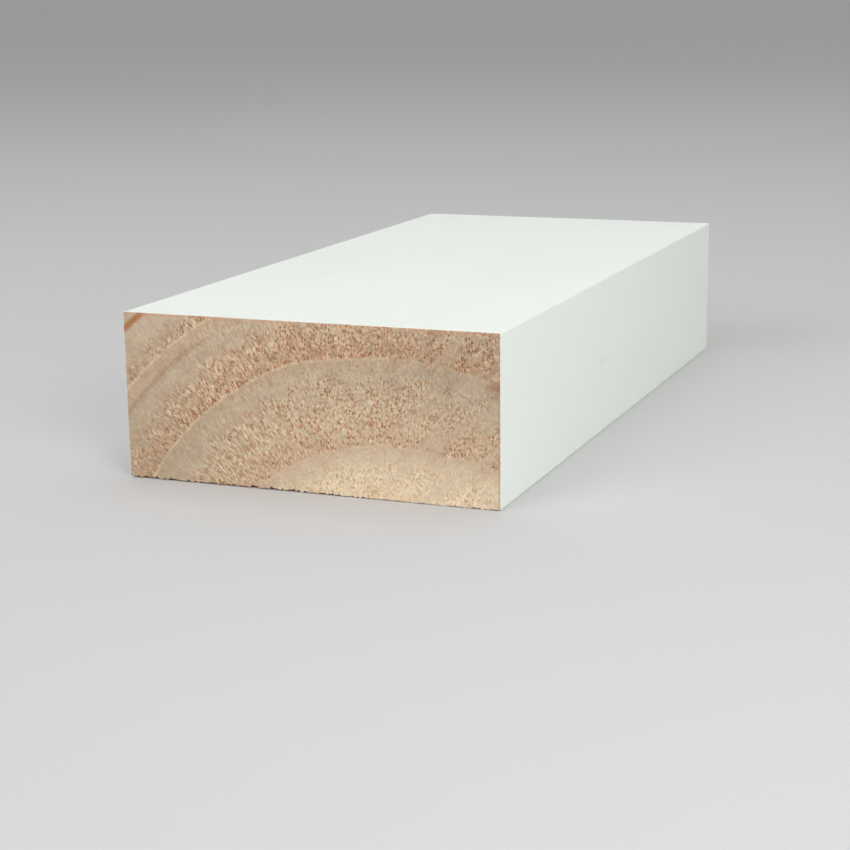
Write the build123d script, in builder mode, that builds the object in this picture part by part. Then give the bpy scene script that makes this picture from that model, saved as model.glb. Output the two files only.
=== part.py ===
"""A short length of primed softwood trim board, nominal two by four stock.

The board was planed to a rectangular section with eased long arrises, primed on its four long
faces and then cross-cut square, so both ends are bare end grain. It lies on its wide back face.

Frame: millimetres, +Z up, +Y along the grain, origin at the centre of the back face.
"""

import os

from build123d import *

# Dressed section of the stock
board_width = 88.9  # across the wide faces, 3 1/2 in
board_thickness = 38.1  # back face to front face, 1 1/2 in
arris_radius = 0.4  # easing of the four long edges, 1/64 in

# Cross-cut length, sawn end to sawn end
board_length = 190.5  # 7 1/2 in

# The section stands on the back face and is drawn at mid-length, looking along the grain
with BuildPart() as trim_board:
    with BuildSketch(Plane.XZ) as dressed_section:
        Rectangle(board_width, board_thickness, align=(Align.CENTER, Align.MIN))
        fillet(dressed_section.vertices(), radius=arris_radius)
    extrude(amount=board_length / 2, both=True)

trim_board.part.label = "trim_board"

os.makedirs("parts", exist_ok=True)
export_step(trim_board.part, "parts/trim_board.step")
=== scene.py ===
import math

import bmesh
import bpy
from mathutils import Matrix, Vector


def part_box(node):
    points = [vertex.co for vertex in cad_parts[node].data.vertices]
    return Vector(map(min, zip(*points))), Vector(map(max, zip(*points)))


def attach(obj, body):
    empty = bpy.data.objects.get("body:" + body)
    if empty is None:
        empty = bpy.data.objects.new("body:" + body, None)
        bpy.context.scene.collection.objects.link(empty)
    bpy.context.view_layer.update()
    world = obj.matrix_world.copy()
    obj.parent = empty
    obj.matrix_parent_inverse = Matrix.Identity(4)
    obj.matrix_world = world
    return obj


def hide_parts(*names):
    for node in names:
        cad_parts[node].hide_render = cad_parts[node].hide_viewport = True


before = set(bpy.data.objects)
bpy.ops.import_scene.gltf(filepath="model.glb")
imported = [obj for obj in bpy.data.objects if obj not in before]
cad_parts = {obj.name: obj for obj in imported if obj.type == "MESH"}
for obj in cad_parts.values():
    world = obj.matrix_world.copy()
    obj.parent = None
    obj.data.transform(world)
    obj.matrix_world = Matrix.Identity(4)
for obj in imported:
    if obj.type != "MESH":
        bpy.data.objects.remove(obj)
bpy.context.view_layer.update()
boardLow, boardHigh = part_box("trim_board")
mm = 0.001
print("frame loaded:", sorted(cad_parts))


# small helpers for node trees, the same for shaders and geometry

def feed(tree, socket, value):
    if isinstance(value, bpy.types.NodeSocket):
        tree.links.new(value, socket)
    else:
        socket.default_value = value


def calc(tree, operation, *values):
    node = tree.nodes.new("ShaderNodeMath")
    node.operation = operation
    for socket, value in zip(node.inputs, values):
        feed(tree, socket, value)
    return node.outputs[0]


def product(tree, first, *others):
    for value in others:
        first = calc(tree, "MULTIPLY", first, value)
    return first


def total(tree, first, *others):
    for value in others:
        first = calc(tree, "ADD", first, value)
    return first


def away(tree, value, middle):  # how far a value is from the middle, either way
    return calc(tree, "ABSOLUTE", calc(tree, "SUBTRACT", value, middle))


def insideBy(tree, value, reach):  # how far a value is inside plus or minus reach
    return calc(tree, "SUBTRACT", reach, calc(tree, "ABSOLUTE", value))


def atLeast(tree, share, least):  # a share from 0 to 1 becomes one from least to 1
    return calc(tree, "MULTIPLY_ADD", share, 1 - least, least)


def split(tree, vector):
    node = tree.nodes.new("ShaderNodeSeparateXYZ")
    feed(tree, node.inputs[0], vector)
    return node.outputs[0], node.outputs[1], node.outputs[2]


def combine(tree, x, y, z):
    node = tree.nodes.new("ShaderNodeCombineXYZ")
    for socket, value in zip(node.inputs, (x, y, z)):
        feed(tree, socket, value)
    return node.outputs[0]


def stretch(tree, vector, factors):
    node = tree.nodes.new("ShaderNodeVectorMath")
    node.operation = "MULTIPLY"
    feed(tree, node.inputs[0], vector)
    feed(tree, node.inputs[1], factors)
    return node.outputs[0]


def inMm(tree, place):
    return stretch(tree, place, (1 / mm, 1 / mm, 1 / mm))


def vectorSum(tree, first, second):
    node = tree.nodes.new("ShaderNodeVectorMath")
    feed(tree, node.inputs[0], first)
    feed(tree, node.inputs[1], second)
    return node.outputs[0]


def ovalGap(tree, place, middle, half):  # 0 in the middle of an oval, 1 at its edge
    gap = vectorSum(tree, place, [-value for value in middle])
    node = tree.nodes.new("ShaderNodeVectorMath")
    node.operation = "LENGTH"
    feed(tree, node.inputs[0], stretch(tree, gap, [1 / value for value in half]))
    return node.outputs["Value"]


def softStep(tree, value, low, high, atLow=0.0, atHigh=1.0):
    node = tree.nodes.new("ShaderNodeMapRange")
    node.interpolation_type = "SMOOTHSTEP"
    for socket, given in zip(node.inputs, (value, low, high, atLow, atHigh)):
        feed(tree, socket, given)
    return node.outputs[0]


def noise(tree, place, perMm, detail=2.0, roughness=0.5, output=0):  # output 0 is a value, 1 three of them
    node = tree.nodes.new("ShaderNodeTexNoise")
    feed(tree, node.inputs["Vector"], stretch(tree, place, perMm))
    feed(tree, node.inputs["Scale"], 1.0)
    feed(tree, node.inputs["Detail"], detail)
    feed(tree, node.inputs["Roughness"], roughness)
    return node.outputs[output]


def noiseSwing(tree, place, values, detail=2.0, roughness=0.5):  # values: per mm three ways, plus or minus
    perMm, amount = values
    return calc(tree, "MULTIPLY_ADD", noise(tree, place, perMm, detail, roughness), 2 * amount, -amount)


def noiseStep(tree, place, values, detail=2.0, roughness=0.5):  # values: per mm three ways, softStep's limits
    perMm, limits = values
    return softStep(tree, noise(tree, place, perMm, detail, roughness), *limits)


def mixColour(tree, share, first, second, blend="MIX"):
    node = tree.nodes.new("ShaderNodeMix")
    node.data_type = "RGBA"
    node.blend_type = blend
    feed(tree, node.inputs[0], share)
    feed(tree, node.inputs[6], first)
    feed(tree, node.inputs[7], second)
    return node.outputs[2]


def mixValue(tree, share, first, second):
    node = tree.nodes.new("ShaderNodeMix")
    for socket, value in zip((node.inputs[0], node.inputs[2], node.inputs[3]), (share, first, second)):
        feed(tree, socket, value)
    return node.outputs[0]


def paint(red, green, blue):  # 0 to 255 as the eye reads it, made linear
    shares = [value / 255 for value in (red, green, blue)]
    return [s / 12.92 if s < 0.04045 else ((s + 0.055) / 1.055) ** 2.4 for s in shares] + [1.0]


def ramp(tree, value, stops):  # stops are (place from 0 to 1, linear colour)
    node = tree.nodes.new("ShaderNodeValToRGB")
    feed(tree, node.inputs[0], value)
    points = node.color_ramp.elements
    for point, (at, colour) in zip((points[0], points[-1]), (stops[0], stops[-1])):
        point.position = at
        point.color = colour
    for at, colour in stops[1:-1]:
        points.new(at).color = colour
    return node.outputs[0]


# the wood: rings round a pith below the board, torn where the early wood is soft

endGrain = {
    "pithAcross": 19.5,  # mm right of the middle
    "pithHeight": -36.0,  # mm, so below the back face
    # rings: inner edge in mm from the pith, share torn right through, share where tearing has gone, strength
    "rings": (
        (28.0, 0.6, 0.86, 0.5), (48.5, 0.5, 0.86, 0.9), (68.0, 0.34, 0.7, 1.0),
        (84.5, 0.16, 0.52, 1.0), (95.0, 0.1, 0.9, 0.15),
    ),
    "outermost": 112.0,
    "meanRadius": 70.0,
    "young": (0.05, 0.35, 1.0, 0.0),  # the first share of a ring
    "endSeed": 35.0,  # tells one end's noise from the other's
    "wobbleWide": ((0.05, 0, 0.05), 0.4),  # per mm, and mm that a ring strays, slowly and quickly
    "wobbleFine": ((0.7, 0, 0.7), 0.5),
    # mm that the rings lie further in, from place to place across the board: outer rings, inner ring
    "outerBend": (-5.0, 9.0, -0.7, 0.7),
    "innerBend": (30.0, 41.0, 0.4, -2.1),
    "bendChange": (50.0, 66.0),  # mm from the pith over which the one gives way to the other
    "stray": ((0.12, 1, 0.12), 0.25),  # share of a ring by which tearing ends early or late
    "strayAcross": (-28.0, 5.0, 0.06, -0.1),
    "grit": ((1.1, 0.5, 1), 0.45),  # patches in which tearing thins out, round and out from the pith
    "tearRange": (0.05, 0.95, 0.27, 1.0),
    "swayPerMm": (0.35, 1, 0.35),
    "sway": (2.2, 1.4, 0),  # mm that the tufts lean round and out
    "strand": ((2.1, 0.6, 1), (0.32, 0.68)),
    "tuftLeft": (1.6, 0.65, 0),  # single tufts, per mm round and out
    "tuftRight": (1.5, 1.1, 0),
    "tuftMiddle": (0.08, 0.68, 1.0, 0.0),
    "tuftDullest": 0.4,
    "pit": (1.75, 1.15, 0),  # per mm across and up
    "pitMiddle": (0.05, 0.55, 1.0, 0.0),
    "pitDark": (0.25, 0.9),
    "pitLevel": (-1.15, 0.66),  # makes a pit's depth a height like a tuft's
    "granular": (-30.0, 20.0),  # mm from the middle over which strands give way to pits
    "strandShare": (0, 1, 0.57, 0.3),
    "pitShare": (0, 1, 0.25, 0.55),
    "sawSlope": math.radians(45),
    "sawBand": ((0.24, 0.05, 1), (0.36, 0.7)),  # across and along a band
    "sawAcross": (10.0, 36.0, 0.0, 0.85),  # mm right of the middle where saw bands start and are full
}


def ringFields(tree, x, z, flat):
    # distance from the pith and way round it, in mm, with the rings' bends and wobbles
    g = endGrain
    across = calc(tree, "SUBTRACT", x, g["pithAcross"])
    above = calc(tree, "SUBTRACT", z, g["pithHeight"])
    plain = calc(tree, "SQRT", total(tree, product(tree, across, across), product(tree, above, above)))
    innerBend = softStep(tree, x, *g["innerBend"])
    outerBend = softStep(tree, x, *g["outerBend"])
    bend = mixValue(tree, softStep(tree, plain, *g["bendChange"]), innerBend, outerBend)
    wideWobble = noiseSwing(tree, flat, g["wobbleWide"])
    fineWobble = noiseSwing(tree, flat, g["wobbleFine"], 3, 0.65)
    radius = total(tree, plain, bend, wideWobble, fineWobble)
    arc = calc(tree, "MULTIPLY", calc(tree, "ARCTAN2", across, above), g["meanRadius"])
    return radius, arc


def tearByRing(tree, radius, stray):
    # full just outside the edge of a ring, fading out towards the next edge, and where a ring is youngest
    rings = endGrain["rings"]
    outer = [ring[0] for ring in rings[1:]] + [endGrain["outermost"]]
    tear = 0.0
    young = 0.0
    for (inner, full, gone, strength), edge in zip(rings, outer):
        share = calc(tree, "DIVIDE", calc(tree, "SUBTRACT", radius, inner), edge - inner)
        fade = softStep(tree, calc(tree, "ADD", share, stray), full, gone, strength, 0.0)
        inside = calc(tree, "GREATER_THAN", radius, inner)
        inside = product(tree, inside, calc(tree, "LESS_THAN", radius, edge))
        tear = calc(tree, "MULTIPLY_ADD", fade, inside, tear)
        young = calc(tree, "MULTIPLY_ADD", softStep(tree, share, *endGrain["young"]), inside, young)
    return tear, young


def sawBands(tree, x, z, seed):
    # diagonal bands on the right, in which the saw smoothed the fuzz down
    g = endGrain
    cosine, sine = math.cos(g["sawSlope"]), math.sin(g["sawSlope"])
    across = calc(tree, "SUBTRACT", calc(tree, "MULTIPLY", x, sine), calc(tree, "MULTIPLY", z, cosine))
    along = calc(tree, "ADD", calc(tree, "MULTIPLY", x, cosine), calc(tree, "MULTIPLY", z, sine))
    sawWay = combine(tree, across, along, seed)
    bands = product(tree, noiseStep(tree, sawWay, g["sawBand"]), softStep(tree, x, *g["sawAcross"]))
    return bands, sawWay


def cells(tree, place, seed):  # distance from the middle of a cell, and a number of the cell's own
    node = tree.nodes.new("ShaderNodeTexVoronoi")
    node.voronoi_dimensions = "2D"
    feed(tree, node.inputs["Vector"], vectorSum(tree, place, combine(tree, seed, seed, 0.0)))
    feed(tree, node.inputs["Scale"], 1.0)
    return node.outputs["Distance"], split(tree, node.outputs["Color"])[0]


def tuftCells(tree, place, seed):  # each tuft is bright in its middle
    distance, bright = cells(tree, place, seed)
    middle = softStep(tree, distance, *endGrain["tuftMiddle"])
    return product(tree, middle, atLeast(tree, bright, endGrain["tuftDullest"]))


def pitCells(tree, place, seed):  # each pit is dark in its middle, and some cells have none
    distance, dark = cells(tree, place, seed)
    middle = softStep(tree, distance, *endGrain["pitMiddle"])
    pit = product(tree, middle, softStep(tree, dark, *endGrain["pitDark"]))
    return calc(tree, "MULTIPLY_ADD", pit, *endGrain["pitLevel"])


def tornTufts(tree, x, z, polar, flat, seed):
    # tufts lie across the rings on the left, this way and that, and turn to plain pits on the right
    g = endGrain
    sway = noise(tree, flat, g["swayPerMm"], 1, output=1)
    leaning = vectorSum(tree, polar, stretch(tree, sway, g["sway"]))
    granular = softStep(tree, x, *g["granular"])
    strands = noiseStep(tree, leaning, g["strand"], 2, 0.6)
    pits = pitCells(tree, stretch(tree, combine(tree, x, z, 0.0), g["pit"]), seed)
    leftTufts = tuftCells(tree, stretch(tree, leaning, g["tuftLeft"]), seed)
    rightTufts = tuftCells(tree, stretch(tree, leaning, g["tuftRight"]), seed)
    tuft = mixValue(tree, granular, leftTufts, rightTufts)
    tuft = mixValue(tree, softStep(tree, granular, *g["strandShare"]), tuft, strands)
    tuft = mixValue(tree, softStep(tree, granular, *g["pitShare"]), tuft, pits)
    return tuft, granular, leaning


def grainFields(tree, place):
    g = endGrain
    x, y, z = split(tree, inMm(tree, place))
    seed = calc(tree, "MULTIPLY", calc(tree, "SIGN", y), g["endSeed"])
    flat = combine(tree, x, seed, z)
    radius, arc = ringFields(tree, x, z, flat)
    polar = combine(tree, arc, radius, seed)
    bands, sawWay = sawBands(tree, x, z, seed)

    # how torn the wood is: 0 smooth, 1 all tufts and pits
    stray = total(tree, noiseSwing(tree, flat, g["stray"]), softStep(tree, x, *g["strayAcross"]))
    tear, young = tearByRing(tree, radius, stray)
    tear = product(tree, tear, calc(tree, "SUBTRACT", 1.0, bands))
    tear = total(tree, tear, noiseSwing(tree, polar, g["grit"], 2, 0.6))
    tear = softStep(tree, tear, *g["tearRange"])

    tuft, granular, leaning = tornTufts(tree, x, z, polar, flat, seed)
    return {"x": x, "y": y, "z": z, "flat": flat, "polar": polar, "leaning": leaning, "radius": radius,
            "tear": tear, "young": young, "tuft": tuft, "granular": granular, "seed": seed, "bands": bands,
            "sawWay": sawWay}


# the board: a bar with eased long edges, cut into a fine grid on its two sawn ends

board = {
    "arrisRadius": 0.4 * mm,
    "arrisSegments": 4,
    "endStep": 0.29 * mm,
    "endRings": [ring * mm for ring in (0.3, 0.7, 1.3, 2.5, 5.0)],
    "uvMap": "OFBake",  # the ends get most of its room
    "endSkin": 0.01,  # mm, what lies this near the end is the sawn face
    "reliefDepth": 0.14,  # mm, plus or minus, where the wood is most torn
    "reliefSink": 0.05,  # mm that torn wood lies below the sawn face
    "reliefSmooth": ((1.6, 1, 1.6), 0.012),  # per mm, and mm
    "notchWide": ((0.4, 1, 1), (0.4, 0.66, 0.0, 0.4)),  # gaps in the lower edge, as shares of the deepest
    "notchSharp": ((1.5, 1, 1), (0.4, 0.62, 0.0, 0.6)),
    "notchAcross": (-5.0, 20.0, 1.0, 0.45),  # less deep right of the middle
    "notchDepth": 0.9,  # mm broken out of the lower edge at the ends
    "notchHeight": 2.2,  # mm up the end that a notch pulls
    "notchLength": 1.6,  # mm along the board
    "burr": 0.3 * mm,
    "burrWay": (-0.6, -0.2, 0.8),
    "burrReach": 1.0 * mm,
}


def cutGrid(bm, axis, marks):
    # each cut takes only the faces that the last one left ahead of it
    normal = Vector((0, 0, 0))
    normal[axis] = 1
    tiny = 1e-7

    def spread(face):
        values = [vert.co[axis] for vert in face.verts]
        return min(values), max(values)

    ahead = [face for face in bm.faces if spread(face)[1] - spread(face)[0] > tiny]
    for mark in marks:
        edges = {edge for face in ahead for edge in face.edges}
        verts = {vert for face in ahead for vert in face.verts}
        result = bmesh.ops.bisect_plane(
            bm, geom=[*verts, *edges, *ahead], dist=tiny, plane_co=normal * mark, plane_no=normal
        )
        faces = [item for item in result["geom"] if isinstance(item, bmesh.types.BMFace)]
        ahead = [face for face in faces if spread(face)[1] > mark + tiny]


def gridMarks(low, high, step):
    count = round((high - low) / step)
    return [low + (place + 0.5) * (high - low) / count for place in range(count)]


def layUvMap(bm):
    # rooms on the map as (left, bottom, right, top); the sawn ends are drawn largest
    rooms = {
        "near": (0.004, 0.664, 0.780, 0.9966), "far": (0.004, 0.328, 0.780, 0.6606),
        "left": (0.786, 0.328, 0.889, 0.9966), "right": (0.893, 0.328, 0.996, 0.9966),
        "front": (0.004, 0.004, 0.498, 0.322), "back": (0.502, 0.004, 0.996, 0.322),
    }
    axes = {"near": (0, 2), "far": (0, 2), "left": (2, 1), "right": (2, 1), "front": (1, 0), "back": (1, 0)}
    size = boardHigh - boardLow
    layer = bm.loops.layers.uv.new(board["uvMap"])
    for face in bm.faces:
        normal = face.normal
        if abs(normal.y) > 0.5:
            name = "near" if normal.y < 0 else "far"
        elif abs(normal.z) >= abs(normal.x):
            name = "front" if normal.z > 0 else "back"
        else:
            name = "left" if normal.x < 0 else "right"
        left, bottom, right, top = rooms[name]
        first, second = axes[name]
        for loop in face.loops:
            shareFirst = (loop.vert.co[first] - boardLow[first]) / size[first]
            shareSecond = (loop.vert.co[second] - boardLow[second]) / size[second]
            loop[layer].uv = (left + shareFirst * (right - left), bottom + shareSecond * (top - bottom))


def reliefTree():
    # moves the end faces along the grain by the same fields that colour them
    b = board
    tree = bpy.data.node_groups.new("sawnEndRelief", "GeometryNodeTree")
    tree.interface.new_socket("Geometry", in_out="INPUT", socket_type="NodeSocketGeometry")
    tree.interface.new_socket("Geometry", in_out="OUTPUT", socket_type="NodeSocketGeometry")
    given = tree.nodes.new("NodeGroupInput")
    result = tree.nodes.new("NodeGroupOutput")
    f = grainFields(tree, tree.nodes.new("GeometryNodeInputPosition").outputs[0])
    fromEnd = insideBy(tree, f["y"], boardHigh.y / mm)
    onEnd = calc(tree, "LESS_THAN", fromEnd, b["endSkin"])
    outward = calc(tree, "SIGN", f["y"])

    raised = calc(tree, "MULTIPLY_ADD", f["tuft"], 2 * b["reliefDepth"], -b["reliefDepth"] - b["reliefSink"])
    height = total(tree, product(tree, f["tear"], raised), noiseSwing(tree, f["flat"], b["reliefSmooth"], 3))
    alongGrain = product(tree, height, onEnd, outward, mm)

    # fibres broken out of the lower edge where the blade left the wood
    notchPlace = combine(tree, f["x"], f["seed"], 0.0)
    wide = noiseStep(tree, notchPlace, b["notchWide"], 1)
    sharp = noiseStep(tree, notchPlace, b["notchSharp"], 2, 0.7)
    notch = product(tree, total(tree, wide, sharp), softStep(tree, f["x"], *b["notchAcross"]))
    nearEdge = softStep(tree, f["z"], 0.0, b["notchHeight"], 1.0, 0.0)
    nearEnd = softStep(tree, fromEnd, 0.0, b["notchLength"], 1.0, 0.0)
    lift = product(tree, notch, nearEdge, nearEnd, nearEnd, b["notchDepth"] * mm)

    move = tree.nodes.new("GeometryNodeSetPosition")
    tree.links.new(given.outputs[0], move.inputs["Geometry"])
    tree.links.new(combine(tree, 0.0, alongGrain, lift), move.inputs["Offset"])
    tree.links.new(move.outputs[0], result.inputs[0])
    return tree


def makeBoard():
    b = board
    bm = bmesh.new()
    bmesh.ops.create_cube(bm, size=1.0)
    bmesh.ops.scale(bm, vec=boardHigh - boardLow, verts=bm.verts)
    bmesh.ops.translate(bm, vec=(boardLow + boardHigh) / 2, verts=bm.verts)
    longEdges = [edge for edge in bm.edges if abs(edge.verts[0].co.y - edge.verts[1].co.y) > b["endStep"]]
    bmesh.ops.bevel(
        bm, geom=longEdges, offset=b["arrisRadius"], offset_type="OFFSET", segments=b["arrisSegments"],
        profile=0.5, affect="EDGES", material=-1
    )
    cutGrid(bm, 1, [boardLow.y + ring for ring in b["endRings"]]
            + [boardHigh.y - ring for ring in reversed(b["endRings"])])
    cutGrid(bm, 2, gridMarks(boardLow.z, boardHigh.z, b["endStep"]))
    cutGrid(bm, 0, gridMarks(boardLow.x, boardHigh.x, b["endStep"]))
    bmesh.ops.recalc_face_normals(bm, faces=bm.faces)
    layUvMap(bm)
    for face in bm.faces:
        face.smooth = True
        face.material_index = int(abs(face.normal.y) > 0.5)  # 0 is primer, 1 is end grain
    for edge in bm.edges:
        kinds = {face.material_index for face in edge.link_faces}
        edge.smooth = len(kinds) < 2
    # a crumb of primer stands up at the near top left corner
    corner = Vector((boardLow.x, boardLow.y, boardHigh.z))
    for vert in bm.verts:
        gap = (vert.co - corner).length
        if gap < b["burrReach"]:
            vert.co += Vector(b["burrWay"]) * b["burr"] * (1 - gap / b["burrReach"]) ** 2
    mesh = bpy.data.meshes.new("primedBoard")
    bm.to_mesh(mesh)
    bm.free()
    made = bpy.data.objects.new("primedBoard", mesh)
    bpy.context.scene.collection.objects.link(made)
    relief = made.modifiers.new("sawnEndRelief", "NODES")
    relief.node_group = reliefTree()
    depsgraph = bpy.context.evaluated_depsgraph_get()
    shaped = bpy.data.meshes.new_from_object(
        made.evaluated_get(depsgraph), preserve_all_data_layers=True, depsgraph=depsgraph
    )
    made.modifiers.clear()
    made.data = shaped
    bpy.data.meshes.remove(mesh)
    print("board:", len(made.data.polygons), "faces")
    return made


# finishes: noises are per mm three ways, then plus or minus how much, or from what to what

primer = {
    "colour": (0.835, 0.88, 0.825, 1.0),
    "shade": (0.815, 0.86, 0.805, 1.0),
    "clouds": ((0.03, 0.012, 0.03), (0.35, 0.7)),
    "scuff": (0.79, 0.83, 0.79, 1.0),
    "scuffs": ((0.5, 0.07, 0.5), (0.58, 0.72, 0.0, 0.6)),
    "smudge": (0.6, 0.63, 0.66, 1.0),
    "smudgePlace": (boardHigh.x / mm, -18.9, 17.6),  # mm, on the right edge
    "smudgeHalf": (2.0, 4.2, 2.0),
    "smudgeStrength": 0.22,
    "bare": paint(140, 100, 74),  # wood where the lower edge broke away at the ends, in a dark brown that is partly painted contact shadow
    "bareEnd": (1.0, 2.0, 1.0, 0.0),  # mm along the board, up from the floor, in from the long edges
    "bareHeight": (0.55, 1.1, 1.0, 0.0),
    "bareSide": (0.3, 0.9),
    "stipple": (1.3, 1.3, 1.3),  # per mm
    "grain": (0.9, 0.02, 0.9),  # the wood's, seen through the paint
    "heights": (0.6, 0.4),  # of the stipple and the grain, as shares of the bump
    "bump": 0.02 * mm,
    "rough": (0.3, 0.7, 0.7, 0.82),
    "specular": 0.05,  # flat paint
}


def finishGroup(name):
    tree = bpy.data.node_groups.new(name, "ShaderNodeTree")
    tree.interface.new_socket("Colour", in_out="OUTPUT", socket_type="NodeSocketColor")
    tree.interface.new_socket("Roughness", in_out="OUTPUT", socket_type="NodeSocketFloat")
    tree.interface.new_socket("Height", in_out="OUTPUT", socket_type="NodeSocketFloat")
    place = tree.nodes.new("ShaderNodeTexCoord").outputs["Object"]
    return tree, place, tree.nodes.new("NodeGroupOutput")


def primerGroup():
    p = primer
    tree, place, result = finishGroup("primerFilm")
    place = inMm(tree, place)
    x, y, z = split(tree, place)
    colour = mixColour(tree, noiseStep(tree, place, p["clouds"], 3), p["colour"], p["shade"])
    colour = mixColour(tree, noiseStep(tree, place, p["scuffs"], 4, 0.7), colour, p["scuff"])
    smudgeGap = ovalGap(tree, place, p["smudgePlace"], p["smudgeHalf"])
    smudge = softStep(tree, smudgeGap, 0.0, 1.0, p["smudgeStrength"], 0.0)
    colour = mixColour(tree, smudge, colour, p["smudge"])
    byEnd = softStep(tree, insideBy(tree, y, boardHigh.y / mm), *p["bareEnd"])
    bySide = softStep(tree, insideBy(tree, x, boardHigh.x / mm), *p["bareSide"])
    # bare wood at the lower edge of each end, dark brown as partly painted contact shadow
    bare = product(tree, byEnd, bySide, softStep(tree, z, *p["bareHeight"]))
    colour = mixColour(tree, bare, colour, p["bare"])
    stipple = noise(tree, place, p["stipple"], 3, 0.6)
    grain = noise(tree, place, p["grain"], 3)
    rough = softStep(tree, stipple, *p["rough"])
    stippleHeight, grainHeight = p["heights"]
    height = total(tree, product(tree, stipple, stippleHeight), product(tree, grain, grainHeight))
    for socket, value in zip(result.inputs, (colour, rough, height)):
        feed(tree, socket, value)
    return tree


endFinish = {
    # smooth wood by mm from the pith
    "body": (
        (30, (235, 205, 168)), (42, (222, 201, 171)), (48, (201, 176, 148)), (49, (197, 169, 140)),
        (55, (201, 177, 148)), (64, (189, 167, 141)), (67.5, (187, 162, 135)), (68.5, (187, 155, 125)),
        (73, (192, 165, 137)), (79, (191, 169, 144)), (84, (197, 168, 140)), (86.5, (188, 162, 135)),
        (90, (201, 178, 152)), (96, (200, 177, 151)),
    ),
    # torn wood times half of that, from the bottom of a pit to the tip of a tuft; the darker, redder pit end
    # is partly painted shade
    "torn": (
        (0.2, (0.3, 0.18, 0.12, 1.0)), (0.38, (0.435, 0.362, 0.32, 1.0)),
        (0.55, (0.53, 0.535, 0.535, 1.0)), (0.8, (0.75, 0.845, 0.91, 1.0)),
    ),
    "untorn": (0.5, 0.5, 0.5, 1.0),
    # how strong the tufts are: in patches, by mm right of the middle, and in the inner rings
    "tuftPatch": ((0.35, 1, 0.35), (0.34, 0.6, 0.45, 1.05)),
    "tuftLeft": (-42.0, -22.0, 0.62, 1.2),
    "tuftRight": (-10.0, 5.0, 1.0, 0.97),
    "tuftInner": 0.82,
    "outerRings": (60.0, 68.0),  # mm from the pith over which the outer rings start
    # shades by pattern
    "rays": ((3.6, 0.14, 1), 0.12),
    "blotch": ((0.22, 1, 0.22), 0.2),
    "speckle": ((2.8, 1, 2.8), 0.12),
    "clump": ((0.55, 1, 0.55), 0.45),  # in torn wood only
    "clumpInner": 0.35,
    "streak": ((0.55, 0.1, 1), 0.22),  # left by the saw on the right, with fine upright scores
    "score": ((4.0, 1, 0.06), 0.1),
    "streakAcross": (0.0, 30.0),
    "falseRings": (54.3, 3.0),  # faint bands in the middle ring: where one starts, mm apart
    "falseFrom": (51.0, 55.0, 0.0, 0.03),
    "falseTo": (63.0, 66.0, 1.0, 0.0),
    "duskAt": 81.0,  # a darker streak on the left, mm from the pith
    "dusk": (0.0, 1.1, 0.2, 0.0),
    "duskAcross": (-32.0, -18.0, 1.0, 0.1),
    "rightPaintedShade": (5.0, 40.0, 0.0, 0.145),  # painted shade: the end is darker towards the top right and the left
    "rightPaintedShadeOut": (44.0, 66.0),
    "leftPaintedShade": (-44.0, -10.0, 0.075, 0.0),
    "lift": (0.92, 0.95, 0.972),  # on every wood colour
    "shadeTone": (0.72, 1.0, 1.17),  # shade is redder, light is paler
    "blush": ((0.55, 1, 0.55), 1.0),
    "blushDepth": (0.2, 0.07),  # more in torn wood, and everywhere
    "blushTone": (1.0, -0.27, -1.0),
    # pits, fibres, and where the blade smeared the wood smooth; the deep pits' dark red-brown is partly
    # painted shade
    "pit": paint(150, 94, 64),
    "pits": ((1.2, 1, 1.2), (0.58, 0.72, 0.0, 0.7)),
    "pitOld": 0.3,  # away from the youngest part of a ring
    "lonePit": paint(148, 98, 70),
    "lonePits": ((1.25, 1, 1.25), (0.67, 0.8, 0.0, 0.6)),
    "loneAcross": (-35.0, -5.0, 0.2, 1.0),
    "loneOut": (49.0, 54.0),
    "fibre": paint(230, 206, 176),
    "fibrePerMm": (1.7, 0.4, 1),
    "fibreHalf": (0.0, 0.05, 0.6, 0.0),
    "fibreGranular": (0, 1, 1.0, 0.3),
    "sawn": paint(184, 160, 140),
    "sawnShare": 0.4,
    # pale lines where a ring ends, broken here and there
    "line": paint(216, 194, 162),
    "lineClear": (0.5, 0.85, 0.8),  # how clear the line of each ring is
    "lineInside": 0.12,  # mm
    "lineHalf": (0.05, 0.5),
    "lineBroken": ((0.8, 0.1, 1), (0.36, 0.62, 0.05, 0.7)),
    "lineAcross": (-5.0, 30.0, 1.0, 0.3),
    "resin": paint(160, 104, 58),
    "resinAt": 94.2,  # mm from the pith
    "resinHalf": (0.15, 1.25, 0.9, 0.0),
    # resin marks: mm right of the middle, mm up, half length, half height, strength
    "marks": ((44.0, 26.4, 3.6, 1.6, 0.7), (18.3, 24.3, 0.5, 0.5, 0.6), (-1.1, 31.9, 0.7, 0.7, 0.6)),
    "mark": paint(136, 86, 62),
    # a warm line under the front face, a darker one by the right edge, and the cut edge of the primer
    "edgePatch": ((0.5, 1, 0.5), (0.35, 0.65, 0.4, 1.0)),
    "warmEdge": paint(208, 148, 106),
    "warmReach": (0.2, 1.0, 0.4, 0.0),  # mm in from the edge
    "rightEdgeBrown": paint(158, 112, 82),
    "rightEdgeReach": (0.2, 0.8, 0.42, 0.0),
    "filmRagged": ((2.2, 1, 2.2), 0.12),
    "filmReach": (0.0, 0.08, 1.0, 0.0),
    "finePerMm": (7.0, 1, 7.0),
    "strokePerMm": (6.5, 0.9, 1),
    "bumpLeast": 0.2,  # in smooth wood
    "bump": 0.09 * mm,
    "rough": (0.0, 0.6, 0.72, 0.92),  # from smooth wood to torn
    "specular": 0.25,
}


def smoothWood(tree, radius):
    stops = endFinish["body"]
    first, last = stops[0][0], stops[-1][0]
    share = calc(tree, "DIVIDE", calc(tree, "SUBTRACT", radius, first), last - first)
    return ramp(tree, share, [((at - first) / (last - first), paint(*tone)) for at, tone in stops])


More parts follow.
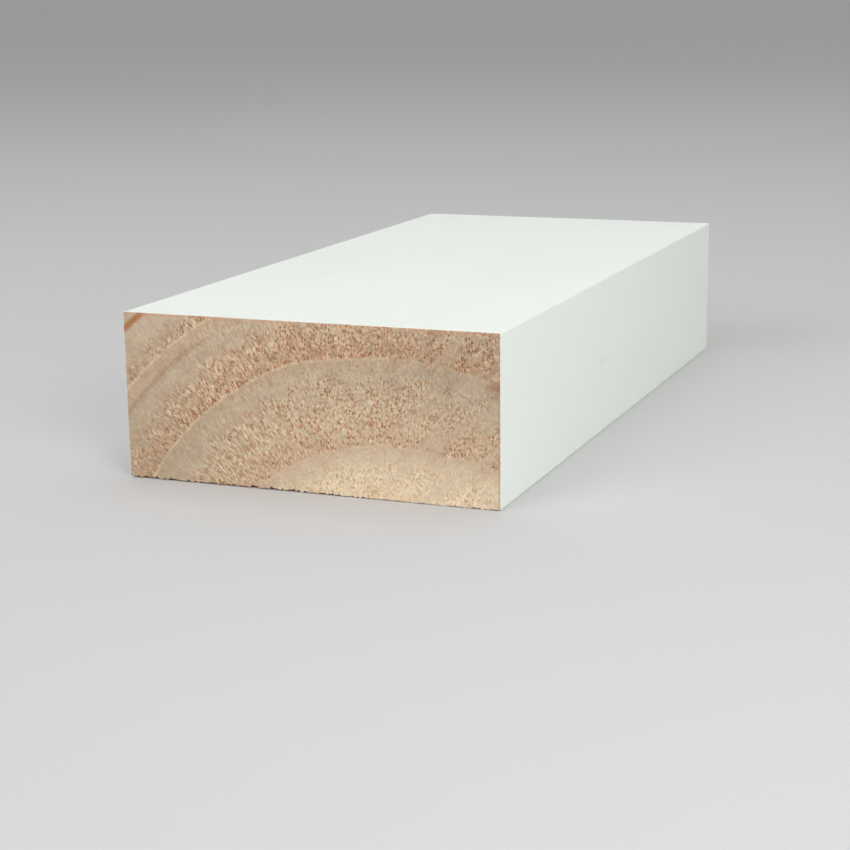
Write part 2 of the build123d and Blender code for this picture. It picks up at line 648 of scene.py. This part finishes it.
def tuftStrength(tree, f, outer):
    e = endFinish
    patchy = noiseStep(tree, f["flat"], e["tuftPatch"])
    left = softStep(tree, f["x"], *e["tuftLeft"])
    right = softStep(tree, f["x"], *e["tuftRight"])
    return product(tree, f["tear"], patchy, left, right, atLeast(tree, outer, e["tuftInner"]))


def woodShade(tree, f, strength, outer):
    e = endFinish
    clump = product(tree, noiseSwing(tree, f["flat"], e["clump"], 2, 0.6), strength)
    clump = product(tree, clump, atLeast(tree, outer, e["clumpInner"]))
    streak = noiseSwing(tree, f["sawWay"], e["streak"], 2, 0.6)
    score = noiseSwing(tree, f["flat"], e["score"], 1)
    streak = product(tree, total(tree, streak, score), softStep(tree, f["x"], *e["streakAcross"]))
    start, apart = e["falseRings"]
    wave = calc(tree, "MULTIPLY", calc(tree, "SUBTRACT", f["radius"], start), math.tau / apart)
    falseFrom = softStep(tree, f["radius"], *e["falseFrom"])
    falseTo = softStep(tree, f["radius"], *e["falseTo"])
    ripple = product(tree, calc(tree, "SINE", wave), falseFrom, falseTo)
    rays = noiseSwing(tree, f["polar"], e["rays"])
    blotch = noiseSwing(tree, f["flat"], e["blotch"], 3)
    speckle = noiseSwing(tree, f["flat"], e["speckle"], 2, 0.6)
    dusk = softStep(tree, away(tree, f["radius"], e["duskAt"]), *e["dusk"])
    dusk = product(tree, dusk, softStep(tree, f["x"], *e["duskAcross"]))
    return calc(tree, "SUBTRACT", total(tree, rays, blotch, speckle, clump, ripple, streak), dusk)


def woodTone(tree, f, strength, outer):
    # what red, green and blue are multiplied by, twice as much because torn wood is times half
    e = endFinish
    shade = woodShade(tree, f, strength, outer)
    # painted shade, the same on red, green and blue, darkening the end towards the top right and the left
    paintedShadeRight = softStep(tree, f["x"], *e["rightPaintedShade"])
    paintedShadeRight = product(tree, paintedShadeRight, softStep(tree, f["radius"], *e["rightPaintedShadeOut"]))
    paintedShadeLeft = softStep(tree, f["x"], *e["leftPaintedShade"])
    paintedShadeLevel = calc(tree, "SUBTRACT", 1.0, total(tree, paintedShadeRight, paintedShadeLeft))
    blush = noiseSwing(tree, f["flat"], e["blush"], 3, 0.8)
    blush = product(tree, blush, calc(tree, "MULTIPLY_ADD", strength, *e["blushDepth"]))
    channels = []
    for share, byShade, byBlush in zip(e["lift"], e["shadeTone"], e["blushTone"]):
        level = calc(tree, "MULTIPLY_ADD", shade, byShade, paintedShadeLevel)
        level = calc(tree, "MULTIPLY_ADD", blush, byBlush, level)
        channels.append(calc(tree, "MULTIPLY", level, 2 * share))
    return combine(tree, *channels)


def addPits(tree, f, strength, colour):
    e = endFinish
    # deep pits in torn wood: the wood's colour darkened by painted shade of the pit
    shadedPit = product(tree, noiseStep(tree, f["flat"], e["pits"], 1), strength, strength)
    shadedPit = product(tree, shadedPit, atLeast(tree, f["young"], e["pitOld"]))
    colour = mixColour(tree, shadedPit, colour, e["pit"])
    loneAcross = softStep(tree, f["x"], *e["loneAcross"])
    loneOut = softStep(tree, f["radius"], *e["loneOut"])
    lone = product(tree, noiseStep(tree, f["flat"], e["lonePits"], 0), loneAcross, loneOut)
    colour = mixColour(tree, lone, colour, e["lonePit"])
    fibre = away(tree, noise(tree, f["leaning"], e["fibrePerMm"], 1), 0.5)
    fibre = product(tree, softStep(tree, fibre, *e["fibreHalf"]), strength)
    fibre = product(tree, fibre, softStep(tree, f["granular"], *e["fibreGranular"]))
    colour = mixColour(tree, fibre, colour, e["fibre"])
    return mixColour(tree, product(tree, f["bands"], e["sawnShare"]), colour, e["sawn"])


def addLines(tree, f, colour):
    e = endFinish
    broken = noiseStep(tree, f["polar"], e["lineBroken"], 3, 0.7)
    broken = product(tree, broken, softStep(tree, f["x"], *e["lineAcross"]))
    for ring, clear in zip(endGrain["rings"][1:], e["lineClear"]):
        gap = away(tree, f["radius"], ring[0] - e["lineInside"])
        line = product(tree, softStep(tree, gap, *e["lineHalf"], clear, 0.0), broken)
        colour = mixColour(tree, line, colour, e["line"])
    resin = softStep(tree, away(tree, f["radius"], e["resinAt"]), *e["resinHalf"])
    colour = mixColour(tree, resin, colour, e["resin"])
    face = combine(tree, f["x"], f["z"], 0.0)
    for right, up, halfLength, halfHeight, strong in e["marks"]:
        gap = ovalGap(tree, face, (right, up, 0.0), (halfLength, halfHeight, 1.0))
        colour = mixColour(tree, softStep(tree, gap, 0.0, 1.0, strong, 0.0), colour, e["mark"])
    return colour


def addEdges(tree, f, colour):
    # also says where the cut edge of the primer shows
    e = endFinish
    patchy = noiseStep(tree, f["flat"], e["edgePatch"])
    frontGap = calc(tree, "SUBTRACT", boardHigh.z / mm, f["z"])
    warm = product(tree, softStep(tree, frontGap, *e["warmReach"]), patchy)
    colour = mixColour(tree, warm, colour, e["warmEdge"])
    # a darker brown band along the right edge of the end
    rightGap = calc(tree, "SUBTRACT", boardHigh.x / mm, f["x"])
    rightEdgeBand = product(tree, softStep(tree, rightGap, *e["rightEdgeReach"]), patchy)
    colour = mixColour(tree, rightEdgeBand, colour, e["rightEdgeBrown"])
    edgeGap = calc(tree, "MINIMUM", insideBy(tree, f["x"], boardHigh.x / mm), frontGap)
    raggedGap = total(tree, edgeGap, noiseSwing(tree, f["flat"], e["filmRagged"]))
    return colour, softStep(tree, raggedGap, *e["filmReach"])


def endGroup(filmGroup):
    e = endFinish
    tree, place, result = finishGroup("sawnPine")
    f = grainFields(tree, place)
    outer = softStep(tree, f["radius"], *e["outerRings"])
    strength = tuftStrength(tree, f, outer)
    # torn wood coloured by the height its tufts are given in the relief, with painted shade darkening the low
    # pits
    torn = mixColour(tree, strength, e["untorn"], ramp(tree, f["tuft"], e["torn"]))
    colour = mixColour(tree, 1.0, smoothWood(tree, f["radius"]), torn, "MULTIPLY")
    colour = mixColour(tree, 1.0, colour, woodTone(tree, f, strength, outer), "MULTIPLY")
    colour = addPits(tree, f, strength, colour)
    colour = addLines(tree, f, colour)
    colour, film = addEdges(tree, f, colour)
    coat = tree.nodes.new("ShaderNodeGroup")
    coat.node_tree = filmGroup
    colour = mixColour(tree, film, colour, coat.outputs["Colour"])
    rough = mixValue(tree, film, softStep(tree, f["tear"], *e["rough"]), coat.outputs["Roughness"])
    fine = noise(tree, f["flat"], e["finePerMm"], 2, 0.6)
    strokes = noise(tree, f["polar"], e["strokePerMm"])
    height = product(tree, total(tree, fine, strokes), 0.5, atLeast(tree, f["tear"], e["bumpLeast"]))
    for socket, value in zip(result.inputs, (colour, rough, height)):
        feed(tree, socket, value)
    return tree


def newMaterial(name):
    material = bpy.data.materials.new(name)
    material.use_nodes = True
    tree = material.node_tree
    tree.nodes.clear()
    shader = tree.nodes.new("ShaderNodeBsdfPrincipled")
    output = tree.nodes.new("ShaderNodeOutputMaterial")
    tree.links.new(shader.outputs[0], output.inputs["Surface"])
    return material, tree, shader


def finishMaterial(name, group, finish):
    material, tree, shader = newMaterial(name)
    shader.inputs["Specular IOR Level"].default_value = finish["specular"]
    coat = tree.nodes.new("ShaderNodeGroup")
    coat.node_tree = group
    tree.links.new(coat.outputs["Colour"], shader.inputs["Base Color"])
    tree.links.new(coat.outputs["Roughness"], shader.inputs["Roughness"])
    bump = tree.nodes.new("ShaderNodeBump")
    bump.inputs["Strength"].default_value = 1.0
    bump.inputs["Distance"].default_value = finish["bump"]
    tree.links.new(coat.outputs["Height"], bump.inputs["Height"])
    tree.links.new(bump.outputs[0], shader.inputs["Normal"])
    return material


primedBoard = makeBoard()
filmGroup = primerGroup()
primedBoard.data.materials.append(finishMaterial("whitePrimer", filmGroup, primer))
primedBoard.data.materials.append(finishMaterial("sawnEndGrain", endGroup(filmGroup), endFinish))
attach(primedBoard, "root")
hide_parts("trim_board")
print("finishes: primer and sawn end grain")


# stage, light and camera

stage = {
    "size": 80.0,  # m
    "colour": (0.62, 0.62, 0.62, 1.0),
    "rough": 1.0,
    "specular": 0.0,
    "worldLight": 0.45,
    "backGlow": 0.3,  # more from behind the board
    "backdrop": (0.318, 0.318, 0.318, 1.0),  # seen past the floor, as bright as its far end
    # name: place, aim, size in m, spread in degrees, watts
    "lamps": {
        "topSoftbox": ((0.1, 0.0, 1.2), (0, 0, 0.02), 1.1, 180, 4.2),
        "rightGrid": ((0.42, -0.5, 0.25), (0.03, -0.07, 0.02), 0.3, 80, 0.42),
        "leftFill": ((-0.7, -1.3, 0.8), (0, 0, 0.02), 0.9, 180, 7.8),
    },
}


def makeFloor():
    bm = bmesh.new()
    bmesh.ops.create_grid(bm, x_segments=1, y_segments=1, size=stage["size"] / 2)
    mesh = bpy.data.meshes.new("paleFloor")
    bm.to_mesh(mesh)
    bm.free()
    made = bpy.data.objects.new("paleFloor", mesh)
    bpy.context.scene.collection.objects.link(made)
    material, tree, shader = newMaterial("paleFloor")
    shader.inputs["Base Color"].default_value = stage["colour"]
    shader.inputs["Roughness"].default_value = stage["rough"]
    shader.inputs["Specular IOR Level"].default_value = stage["specular"]
    mesh.materials.append(material)


def makeWorld():
    world = bpy.data.worlds.new("studio")
    bpy.context.scene.world = world
    world.use_nodes = True
    tree = world.node_tree
    light = tree.nodes["Background"]
    light.inputs["Color"].default_value = (1, 1, 1, 1)
    behind = split(tree, tree.nodes.new("ShaderNodeTexCoord").outputs["Generated"])[1]
    behind = calc(tree, "MAXIMUM", behind, 0.0)
    strength = calc(tree, "MULTIPLY_ADD", behind, stage["backGlow"], stage["worldLight"])
    feed(tree, light.inputs["Strength"], strength)
    seen = tree.nodes.new("ShaderNodeBackground")
    seen.inputs["Color"].default_value = stage["backdrop"]
    path = tree.nodes.new("ShaderNodeLightPath")
    direct = calc(tree, "MAXIMUM", path.outputs["Is Camera Ray"], path.outputs["Is Glossy Ray"])
    direct = calc(tree, "MAXIMUM", direct, path.outputs["Is Transmission Ray"])
    either = tree.nodes.new("ShaderNodeMixShader")
    for socket, value in zip(either.inputs, (direct, light.outputs[0], seen.outputs[0])):
        tree.links.new(value, socket)
    tree.links.new(either.outputs[0], tree.nodes["World Output"].inputs["Surface"])


def makeLamps():
    for name, (place, aim, size, spread, watts) in stage["lamps"].items():
        lamp = bpy.data.lights.new(name, "AREA")
        lamp.shape = "SQUARE"
        lamp.size = size
        lamp.spread = math.radians(spread)
        lamp.energy = watts
        made = bpy.data.objects.new(name, lamp)
        made.location = place
        made.rotation_euler = (Vector(aim) - Vector(place)).to_track_quat("-Z", "Y").to_euler()
        made.visible_camera = False
        bpy.context.scene.collection.objects.link(made)


camera = {
    "place": (0.16989, -0.45840, 0.10868),
    "sensor": 36.0,  # mm
    "lens": 80.06,
    "nearest": 0.01,  # m
    "pitch": math.radians(13.162),
    "yaw": math.radians(21.403),
    "roll": math.radians(-0.660),
}


def makeCamera():
    c = camera
    data = bpy.data.cameras.new("view")
    data.lens = c["lens"]
    data.sensor_width = c["sensor"]
    data.clip_start = c["nearest"]
    made = bpy.data.objects.new("view", data)
    turn = Matrix.Rotation(c["yaw"], 4, "Z") @ Matrix.Rotation(math.pi / 2 - c["pitch"], 4, "X")
    made.matrix_world = Matrix.Translation(c["place"]) @ turn @ Matrix.Rotation(c["roll"], 4, "Z")
    bpy.context.scene.collection.objects.link(made)
    bpy.context.scene.camera = made


makeFloor()
makeWorld()
makeLamps()
makeCamera()
bpy.context.scene.view_settings.view_transform = "Standard"
print("stage, light and camera in place")
